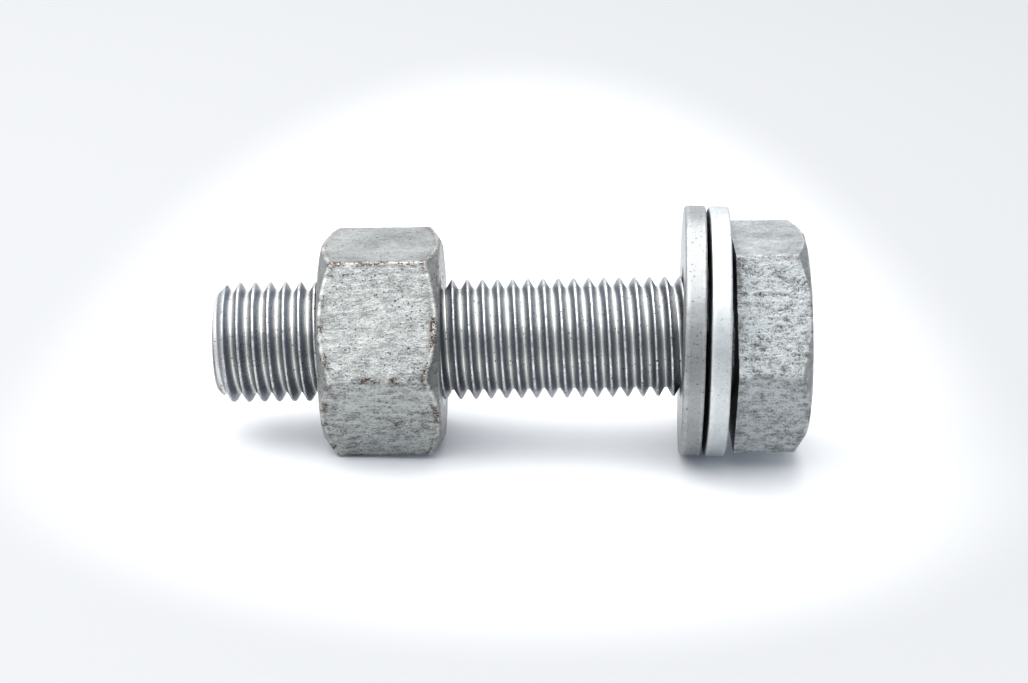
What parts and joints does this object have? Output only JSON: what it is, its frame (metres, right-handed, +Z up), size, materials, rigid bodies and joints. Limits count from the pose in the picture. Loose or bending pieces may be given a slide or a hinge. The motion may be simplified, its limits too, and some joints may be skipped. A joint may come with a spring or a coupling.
{
  "type": "hex bolt",
  "caption": "Galvanised fully threaded hex bolt with its nut on the thread and plain washers under the head.",
  "frame": {"origin": "centre of the flat top of the bolt's head", "axes": "+X along the bolt's axis, out of the head; +Z up, square to a flat of the head; the thread runs to -X"},
  "size_m": [0.0965, 0.0412, 0.0414],
  "materials": {
    "bolt_zinc": "hot-dip galvanised, satin and mottled",
    "nut_zinc": "hot-dip galvanised, matte, slightly stained",
    "outer_washer_zinc": "hot-dip galvanised, smooth satin",
    "inner_washer_zinc": "hot-dip galvanised, smooth satin"
  },
  "bodies": {
    "outer_washer": {"outer_washer": "outer_washer_zinc"},
    "bolt": {"hex_bolt": "bolt_zinc"},
    "nut": {"hex_nut": "nut_zinc"},
    "inner_washer": {"inner_washer": "inner_washer_zinc"}
  },
  "joints": [
    {"name": "bolt_turn", "type": "hinge", "parent": "outer_washer", "child": "bolt", "pos_m": [-0.0121, 0, 0], "axis": [-1, 0, 0], "range_deg": [-5040, 5400]},
    {"name": "nut_travel", "type": "slide", "parent": "outer_washer", "child": "nut", "axis": [1, 0, 0], "range_m": [-0.035, 0.0375]},
    {"name": "inner_washer_spin", "type": "hinge", "parent": "outer_washer", "child": "inner_washer", "pos_m": [-0.0145, 0, 0.00078], "axis": [0.9994, -0.0244, -0.0227], "continuous": true}
  ],
  "couplings": [
    {"joint": "nut_travel", "follows": "bolt_turn", "m_per_rad": 0.00039789}
  ]
}
